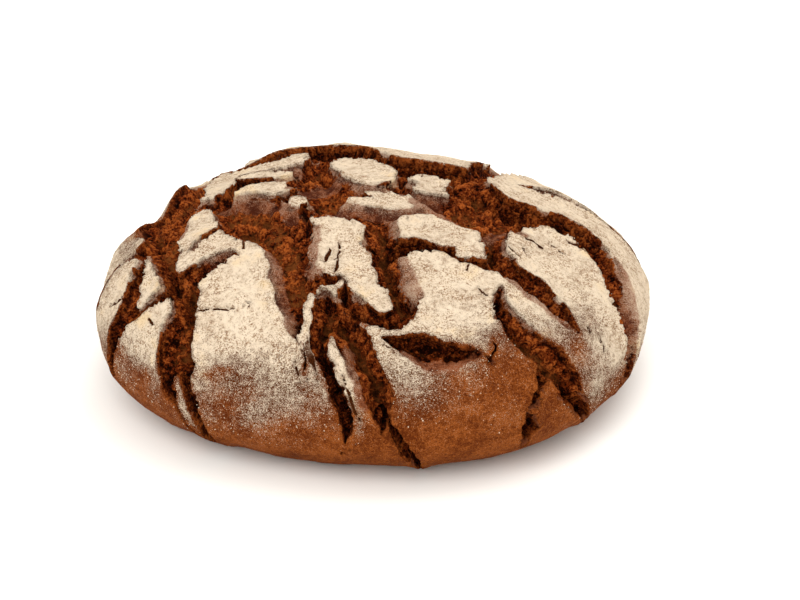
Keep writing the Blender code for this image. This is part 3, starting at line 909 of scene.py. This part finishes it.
def crust_material(look):
    recipe = Recipe("crust")
    place = recipe.place()
    level = recipe.stretch(place, (1.0, 1.0, 1.5))
    names = ("edge", "skin", "split", "flour", "ridge", "rise", "sunk", "hollow")
    edge, skin, split, flour, ridge, rise, sunk, hollow = (recipe.attribute(name) for name in names)

    # Noise from the coarsest to the finest, and what is made of it alone.
    fray = recipe.noise(place, 520, 4, 0.7)
    mottle = recipe.noise(place, 360, 5, 0.72)
    grain = recipe.noise(place, 1050, 2, 0.6)
    specks = recipe.noise(place, 2100, 3, 0.8)
    patches = recipe.noise(level, 60, 3, 0.55)
    grit = recipe.noise(place, 75, 3, 0.6).ease(-0.12, 0.14)
    grainy = mottle * 1.3 + specks * 4.2
    dots = (specks * 0.7 + grain * 0.6 + fray * 0.3).ease(-0.1, -0.24)
    creases = abs(recipe.noise(place, 95, 3, 0.6, 0.8))
    on_skin = (skin + fray * 2.0 + mottle * 1.6 - 0.1).ease(0.2, 0.7)
    crumb = (edge + fray * 1.8).ease(0.1, -0.2) * (1.0 - on_skin)

    # Bare crust and stretched skin, the skin with painted light and shade from its relief and painted shade in
    # the hollows.
    tone = patches * 1.6 + mottle * 1.6 + specks * 2.4 + grain * 1.6 + 0.5
    brown = recipe.mix(look.crust_dark, look.crust_light, tone.ease(0.0, 1.0))
    # Random mottle on the skin, plus painted light on its raised places and painted shade in its low ones, from
    # rise and ridge.
    skin_tone_and_shade = mottle * 2.0 + specks * 2.6 + patches * 1.2 + rise * 0.3 + ridge * 0.3 + 0.5
    skin_shade = recipe.mix(look.skin_dark, look.skin, skin_tone_and_shade.ease(0.0, 1.0))
    brown = recipe.mix(brown, skin_shade, skin.ease(0.1, 0.6))
    # Painted shade: the skin is darkened a little towards the dark crumb colour where it lines the hollows.
    brown = recipe.mix(brown, look.dark_crumb_and_shade, hollow * skin * 0.15)

    # Flour: how much of the crust and of the skin it covers, and its tone.
    rubbed = (edge + fray * 1.5).ease(1.6, 0.1) * 0.35
    dusting = flour * 1.6 - 0.5 - rubbed
    amount = dusting + patches * 0.7 + grainy
    skin_dust = flour * 1.1 - 0.75 + edge.ease(-5.0, 0.0) * 0.3 - 0.3
    skin_dust = skin_dust + patches * 1.0 + grainy * 0.9 + rise * 0.4
    split_line = (split + fray * 0.6).ease(0.2, -0.1) * edge.ease(0.0, 0.8)
    on_crust = edge.ease(-0.3, 0.3) * (1.0 - skin.ease(0.4, 0.9))
    cover = amount.ease(0.15, 0.85) * (1.0 - split_line) * (1.0 - dots * (0.3 + grit * 0.5))
    cover = recipe.mix(skin_dust.ease(0.0, 1.3) * 0.65, cover, on_crust)
    lightness = 0.74 + patches * 0.8 + mottle * 1.8 + (grain * 3.4 + specks * 1.4) * grit - grit * 0.14
    powder = recipe.mix(look.flour_shade, look.flour, lightness.ease(0.0, 1.0))
    toasted = (patches * 3.0 + mottle).ease(0.1, 0.7) * edge.ease(11.0, 2.0)
    powder = recipe.mix(powder, look.flour_toasted, toasted * 0.6)
    crust = recipe.mix(brown, powder, cover)
    crust = recipe.mix(crust, look.dark_crumb_and_shade, split_line * 0.8)

    # Torn crumb.
    torn, fine = crumb_shades(recipe, look, place, ridge, rise)
    heart = (sunk + patches * 0.5).ease(0.35, 0.8) * edge.ease(-4.0, -8.0) * ridge.ease(0.6, -0.4)
    torn = recipe.mix(torn, look.crumb_heart, heart * 0.7)
    # Painted shade: the crumb darkens towards the dark crumb colour in the narrow hollows and on the wall under
    # the crust's rim, less on ridges.
    wall = edge.ease(-3.2, -1.4)
    painted_shade = (hollow * edge.ease(0.0, -2.0)).most(wall) * (0.5 - fray * 1.8 - ridge * 0.2)
    torn = recipe.mix(torn, look.dark_crumb_and_shade, painted_shade)
    colour_out = recipe.mix(crust, torn, crumb)

    crinkle = mottle * 2.2 + grain * 0.8 + creases.ease(0.0, 0.06) * 0.3
    height = (cover * 0.5 + grainy * 0.2 + crinkle) * (1.0 - crumb) * 0.8 + fine * crumb * 4.0
    normal = recipe.bump(height, 0.6 * MM)
    rough = 0.7 + cover * 0.25 + crumb * 0.2
    return recipe.finish(Base_Color=colour_out, Roughness=rough, Normal=normal, Specular_IOR_Level=SHEEN)


def flour_material(look):
    recipe = Recipe("flour")
    place = recipe.place()
    tint = recipe.mix(look.flour, look.flour_grain, (recipe.noise(place, 900, 2) + 0.5).ease(0.2, 0.8))
    normal = recipe.bump(recipe.noise(place, 2600, 2), 0.1 * MM)
    return recipe.finish(Base_Color=tint, Roughness=0.95, Normal=normal, Specular_IOR_Level=SHEEN)


def crumb_material(look):
    recipe = Recipe("crumb")
    place = recipe.place()
    bulk = recipe.noise(place, 210, 2)
    shades, fine = crumb_shades(recipe, look, place, bulk * 1.6 - 0.3, bulk)
    normal = recipe.bump(fine, 0.6 * MM)
    return recipe.finish(Base_Color=shades, Roughness=0.9, Normal=normal, Specular_IOR_Level=SHEEN)


def floor_material(look):
    return Recipe("floor").finish(Base_Color=look.floor, Roughness=0.9, Specular_IOR_Level=SHEEN)


# ---------------------------------------------------------------------------------------------
# Settings
# ---------------------------------------------------------------------------------------------


def length_setting(name, description, default):
    return FloatProperty(name=name, description=description, default=default, unit="LENGTH", precision=5)


def colour_setting(name, description, red, green, blue):
    return FloatVectorProperty(
        name=name, description=description, default=colour(red, green, blue), size=4, subtype="COLOR",
        min=0, max=1,
    )


class LoafSize(bpy.types.PropertyGroup):
    """Sizes of the loaf's relief and mesh"""

    tear_depth: length_setting("Tear depth", "How far the torn crumb lies under the crust", 0.0088)
    hollow_depth: length_setting("Hollow depth", "How much deeper the darkest places go", 0.0055)
    crumb_relief: length_setting("Crumb relief", "Half height of the crumb's lumps and pits", 0.0012)
    lip_rise: length_setting("Lip rise", "How far the crust stands up beside a tear", 0.0015)
    overhang: length_setting("Overhang", "How far the crust's edge leans out over a tear", 0.0010)
    tear_widening: length_setting("Tear widening", "Added to the half width of every tear", 0.0007)
    crumb_jitter: length_setting("Crumb jitter", "How far the crumb's surface is pushed about", 0.0010)
    wall_run: length_setting("Wall run", "How far the broken crust's wall reaches into a tear", 0.0015)
    mesh_scale: FloatProperty(
        name="Mesh scale", description="Scales every edge of the mesh", default=1.45, min=0.5
    )
    mesh_rounds: IntProperty(
        name="Mesh rounds", description="Most rounds of splitting edges", default=7, min=1
    )


class LoafLook(bpy.types.PropertyGroup):
    """Colours of crust, flour, crumb and floor"""

    flour: colour_setting("Flour", "Flour lying thick on the crust", 219, 202, 179)
    flour_shade: colour_setting("Thin flour", "Flour lying thin on the crust", 158, 126, 96)
    flour_toasted: colour_setting("Toasted flour", "Flour that browned near the tears", 216, 186, 140)
    flour_grain: colour_setting("Flour grain", "The lightest grains of flour", 222, 204, 180)
    crust_light: colour_setting("Light crust", "Bare crust where it is palest", 148, 80, 33)
    crust_dark: colour_setting("Dark crust", "Bare crust where it is darkest", 84, 35, 8)
    skin: colour_setting("Skin", "Stretched skin beside the tears", 138, 78, 47)
    skin_dark: colour_setting("Dark skin", "Stretched skin where it is darkest", 68, 29, 15)
    # Light crumb also carries the painted light on raised crumb, and dark crumb the painted shade in its pits,
    # under the rims and in the hollows.
    crumb_light: colour_setting("Light crumb", "The lightest ridges of torn crumb", 182, 94, 39)
    crumb_middle: colour_setting("Crumb", "Most of the torn crumb", 106, 40, 11)
    dark_crumb_and_shade: colour_setting("Dark crumb", "The pits of the torn crumb", 24, 5, 1)
    crumb_heart: colour_setting("Crumb heart", "The soft crumb deep in the widest tears", 164, 94, 44)
    floor: colour_setting("Floor", "The plain floor", 246, 246, 244)


class LoafBits(bpy.types.PropertyGroup):
    """Numbers and sizes of loose flour and crumb"""

    flour_count: IntProperty(name="Flour grains", description="Number of flour grains", default=8192, min=0)
    flour_size: length_setting("Flour grain size", "Half width of the larger flour grains", 0.00036)
    crumb_count: IntProperty(name="Crumb bits", description="Number of crumb bits", default=8192, min=0)
    crumb_size: length_setting("Crumb bit size", "Half width of the larger crumb bits", 0.00045)


class StageSet(bpy.types.PropertyGroup):
    """Camera and light"""

    elevation: FloatProperty(
        name="Elevation", description="How far the camera looks down", default=math.radians(24),
        subtype="ANGLE",
    )
    distance: length_setting("Distance", "From the camera to the middle of the loaf", 0.96)
    lens: FloatProperty(name="Lens", description="Focal length of the camera in millimetres", default=85)
    key_power: FloatProperty(
        name="Key light", description="Power of the main light", default=9.5, subtype="POWER"
    )
    fill_power: FloatProperty(
        name="Fill light", description="Power of the fill light", default=15.5, subtype="POWER"
    )
    sky: FloatProperty(name="Sky", description="Strength of the even light all round", default=1.16)


# ---------------------------------------------------------------------------------------------
# Making
# ---------------------------------------------------------------------------------------------


class BREAD_OT_loaf(bpy.types.Operator):
    """Make the loaf with its torn crust"""

    bl_idname = "bread.loaf"
    bl_label = "Loaf"

    def execute(self, context):
        size = context.scene.bread_size
        mesh = sphere_mesh(size)
        directions = sphere_directions(mesh)
        surface = Surface(laid_flat(directions), size)
        places = surface.place()
        ends = edge_ends(mesh)
        nearby = settled(places, ends, 3)
        around = settled(nearby, ends, 17)
        # How far each point stands out of its near and wider neighbours; the materials paint raised points
        # lighter and low ones darker with these, as painted light and shade.
        ridge = ((places - nearby) * surface.normal).sum(axis=1)
        rise = ((places - around) * surface.normal).sum(axis=1)
        for vertex, place in zip(mesh.verts, places + CENTRING):
            vertex.co = place
        bmesh.ops.recalc_face_normals(mesh, faces=mesh.faces)
        data = bpy.data.meshes.new("rye_loaf")
        mesh.to_mesh(data)
        mesh.free()
        fields = {
            "edge": np.clip(surface.edge / MM, -20, 20),
            "skin": surface.skin,
            "split": np.clip(surface.split / MM, -5, 5),
            "flour": surface.flour(),
            "ridge": np.clip(ridge / (0.5 * MM), -1, 1),
            "rise": np.clip(rise / (2.5 * MM), -1, 1),
            "sunk": np.clip(-surface.height / (14 * MM), 0, 1),
            "hollow": surface.hollow,
        }
        for name, values in fields.items():
            add_field(data, name, values)
        add_bake_map(data, directions)
        loaf = new_piece("rye_loaf", data, crust_material(context.scene.bread_look))
        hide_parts("loaf")
        return {"FINISHED"}


def strewn_points(count, draw, size, keep):
    """Points of the crust laid out flat, drawn evenly and kept where keep(surface) beats a random share."""
    picked = np.empty((0, 2))
    while len(picked) < count:
        length = FOOT_LENGTH * np.sqrt(draw.random(2 * count))
        angle = draw.uniform(0, 2 * np.pi, 2 * count)
        flat = length[:, None] * np.column_stack([np.cos(angle), np.sin(angle)])
        chance = keep(Surface(flat, size))
        picked = np.vstack([picked, flat[draw.random(len(flat)) < chance]])
    return picked[:count]


LUMP_ROUGHNESS = 0.25


def lumps(name, places, spreads, draw):
    """A mesh of small uneven lumps, one at each place, with its half sizes from spreads."""
    mesh = bmesh.new()
    bmesh.ops.create_icosphere(mesh, subdivisions=1, radius=1.0)
    corners = len(mesh.verts)
    while len(mesh.verts) < corners * len(places):
        bmesh.ops.duplicate(mesh, geom=[*mesh.verts, *mesh.edges, *mesh.faces])
    unit_lump = np.array([vertex.co[:] for vertex in mesh.verts]).reshape(-1, corners, 3)[: len(places)]
    swelling = 1 + draw.uniform(-LUMP_ROUGHNESS, LUMP_ROUGHNESS, unit_lump.shape[:2])
    shaped = unit_lump * swelling[..., None] * spreads[:, None]
    turns, _ = np.linalg.qr(draw.normal(size=(len(places), 3, 3)))
    turns *= np.sign(np.linalg.det(turns))[:, None, None]
    shaped = np.einsum("nij,nkj->nki", turns, shaped) + places[:, None]
    extra = [vertex for number, vertex in enumerate(mesh.verts) if number >= corners * len(places)]
    for vertex, place in zip(mesh.verts, shaped.reshape(-1, 3)):
        vertex.co = place
    bmesh.ops.delete(mesh, geom=extra, context="VERTS")
    data = bpy.data.meshes.new(name)
    mesh.to_mesh(data)
    mesh.free()
    return data


def strewn_lumps(name, count, draw, size, keep, half_sizes, least, most):
    """A mesh of lumps strewn over the loaf. Each way, a share from least to most scales a lump's half size."""
    flat = strewn_points(count, draw, size, keep)
    half = half_sizes(len(flat))
    spreads = half[:, None] * draw.uniform(least, most, (len(flat), 3))
    return lumps(name, Surface(flat, size).place() + CENTRING, spreads, draw)


class BREAD_OT_flour(bpy.types.Operator):
    """Strew flour grains on the crust"""

    bl_idname = "bread.flour"
    bl_label = "Flour grains"

    def execute(self, context):
        bits = context.scene.bread_bits
        size = context.scene.bread_size
        draw = np.random.default_rng(11)

        def keep(surface):
            flour = surface.flour()
            thin = flour * (1.25 - flour) * ease(0.12, 0.4, flour)
            return 1.6 * thin * (surface.edge > 0.2 * MM) * (surface.split > 0) * (1 - 0.5 * surface.skin)

        def half_sizes(number):
            return bits.flour_size * draw.uniform(0.4, 1.0, number)

        least, most = [0.9, 0.6, 0.5], [1.2, 1.0, 0.8]
        data = strewn_lumps("flour_grains", bits.flour_count, draw, size, keep, half_sizes, least, most)
        new_piece("flour_grains", data, flour_material(context.scene.bread_look))
        return {"FINISHED"}


class BREAD_OT_crumbs(bpy.types.Operator):
    """Set rough crumb bits in the tears"""

    bl_idname = "bread.crumbs"
    bl_label = "Crumb bits"

    def execute(self, context):
        bits = context.scene.bread_bits
        size = context.scene.bread_size
        draw = np.random.default_rng(23)

        def keep(surface):
            return (surface.edge < -0.8 * MM) * (1 - surface.skin) * (surface.above_foot > 0.9)

        def half_sizes(number):
            return bits.crumb_size * draw.uniform(0.3, 1.0, number) ** 1.5

        least, most = [0.8, 0.7, 0.6], [1.5, 1.1, 1.0]
        data = strewn_lumps("crumb_bits", bits.crumb_count, draw, size, keep, half_sizes, least, most)
        new_piece("crumb_bits", data, crumb_material(context.scene.bread_look))
        return {"FINISHED"}


# The stage: where the lights stand, how wide they are and their tints, and how far the picture is shifted.
STAGE_MIDDLE = (0.0, 0.0, 0.05)
KEY_LIGHT = {"place": (0.62, 0.42, 1.3), "width": 1.5, "tint": (1.0, 0.985, 0.96)}
FILL_LIGHT = {"place": (-0.4, -1.2, 1.15), "width": 1.4, "tint": (1.0, 0.99, 0.98)}
SKY_TINT = (1.0, 0.965, 0.91, 1.0)
CAMERA_SHIFT = (0.0324, -0.0356)
FLOOR_REACH = 6.0


def add_floor(look):
    mesh = bmesh.new()
    bmesh.ops.create_grid(mesh, x_segments=1, y_segments=1, size=FLOOR_REACH)
    data = bpy.data.meshes.new("floor")
    mesh.to_mesh(data)
    mesh.free()
    data.materials.append(floor_material(look))
    floor = bpy.data.objects.new("floor", data)
    floor.location.z = LOAF_LOW[2]
    bpy.context.scene.collection.objects.link(floor)


def add_sky(strength):
    world = bpy.data.worlds.new("studio")
    world.use_nodes = True
    background = world.node_tree.nodes["Background"]
    background.inputs["Color"].default_value = SKY_TINT
    background.inputs["Strength"].default_value = strength
    bpy.context.scene.world = world


def add_light(name, power, place, width, tint):
    lamp = bpy.data.lights.new(name, "AREA")
    lamp.energy = power
    lamp.shape = "DISK"
    lamp.size = width
    lamp.color = tint
    holder = bpy.data.objects.new(name, lamp)
    holder.location = place
    holder.rotation_euler = (Vector(STAGE_MIDDLE) - Vector(place)).to_track_quat("-Z", "Y").to_euler()
    bpy.context.scene.collection.objects.link(holder)


def add_camera(stage):
    lens = bpy.data.cameras.new("camera")
    lens.lens = stage.lens
    lens.sensor_width = 36.0
    lens.shift_x, lens.shift_y = CAMERA_SHIFT
    camera = bpy.data.objects.new("camera", lens)
    middle = Vector(CENTRING) + Vector(STAGE_MIDDLE)
    away = Vector((0.0, -math.cos(stage.elevation), math.sin(stage.elevation)))
    camera.location = middle + stage.distance * away
    camera.rotation_euler = (math.pi / 2 - stage.elevation, 0.0, 0.0)
    bpy.context.scene.collection.objects.link(camera)
    bpy.context.scene.camera = camera


class BREAD_OT_stage(bpy.types.Operator):
    """Set up the floor, the light and the camera"""

    bl_idname = "bread.stage"
    bl_label = "Stage"

    def execute(self, context):
        stage = context.scene.bread_stage
        add_floor(context.scene.bread_look)
        add_sky(stage.sky)
        add_light("key", stage.key_power, **KEY_LIGHT)
        add_light("fill", stage.fill_power, **FILL_LIGHT)
        add_camera(stage)
        context.scene.view_settings.view_transform = "Standard"
        return {"FINISHED"}


class BREAD_PT_loaf(bpy.types.Panel):
    """Lists the loaf's pieces and their settings"""

    bl_idname = "BREAD_PT_loaf"
    bl_label = "Rye loaf"
    bl_space_type = "VIEW_3D"
    bl_region_type = "UI"
    bl_category = "Bread"

    def draw(self, context):
        for operator in OPERATORS:
            self.layout.operator(operator.bl_idname)
        for settings in (context.scene.bread_size, context.scene.bread_look, context.scene.bread_bits):
            for name in settings.bl_rna.properties.keys()[2:]:
                self.layout.prop(settings, name)


OPERATORS = (BREAD_OT_stage, BREAD_OT_loaf, BREAD_OT_flour, BREAD_OT_crumbs)
SETTINGS = {"bread_size": LoafSize, "bread_look": LoafLook, "bread_bits": LoafBits, "bread_stage": StageSet}


def register():
    for kind in (*SETTINGS.values(), *OPERATORS, BREAD_PT_loaf):
        bpy.utils.register_class(kind)
    for name, kind in SETTINGS.items():
        setattr(bpy.types.Scene, name, PointerProperty(type=kind))


def unregister():
    for name in SETTINGS:
        delattr(bpy.types.Scene, name)
    for kind in (BREAD_PT_loaf, *OPERATORS, *SETTINGS.values()):
        bpy.utils.unregister_class(kind)


def write_sizes():
    def plain(box):
        return [[float(value) for value in corner] for corner in box]


def main():
    register()
    bpy.ops.bread.stage()
    bpy.ops.bread.loaf()
    bpy.ops.bread.flour()
    bpy.ops.bread.crumbs()
    write_sizes()


if __name__ == "__main__":
    main()
